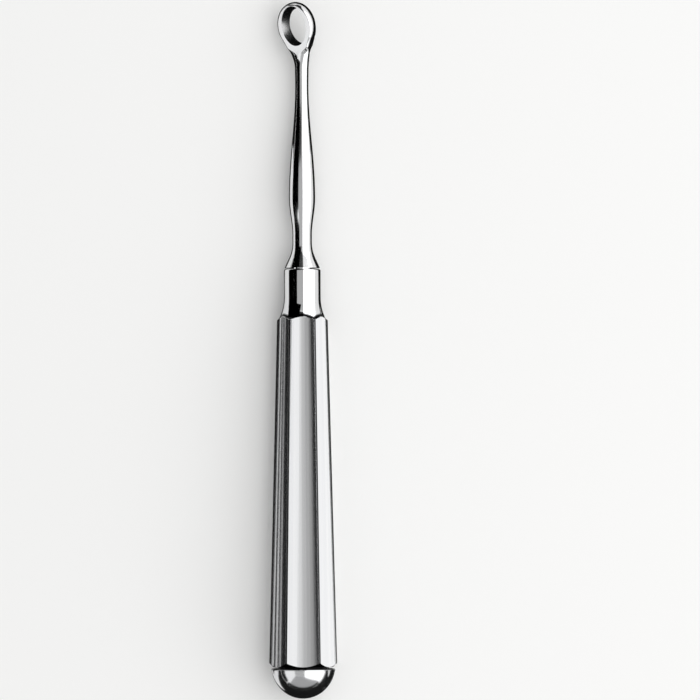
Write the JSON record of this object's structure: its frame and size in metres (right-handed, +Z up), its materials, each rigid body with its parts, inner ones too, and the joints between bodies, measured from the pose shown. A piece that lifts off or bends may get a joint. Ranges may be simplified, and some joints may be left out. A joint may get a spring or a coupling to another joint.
{
  "type": "dermal curette",
  "caption": "Straight hand curette: an open oval ring with a sharp rim, turned and leaning forward, on a baluster shank set in a hollow tapered hexagonal handle with a domed butt.",
  "frame": {"origin": "centre of the instrument's bounding box in plan, on the surface that it lies on", "axes": "+Y along the instrument from the butt towards the ring, +Z up from the flat it lies on, +X to the right when seen from above with the ring away from the viewer"},
  "size_m": [0.0144, 0.146, 0.0134],
  "materials": {
    "forged_steel": "polished stainless steel, buffed along the shank",
    "handle_steel": "polished stainless steel with a fine lengthwise grain on the flats",
    "cap_steel": "polished stainless steel, turned"
  },
  "bodies": {
    "root": {"ring_and_shank": "forged_steel", "handle_shell": "handle_steel", "butt_cap": "cap_steel"}
  },
  "joints": []
}
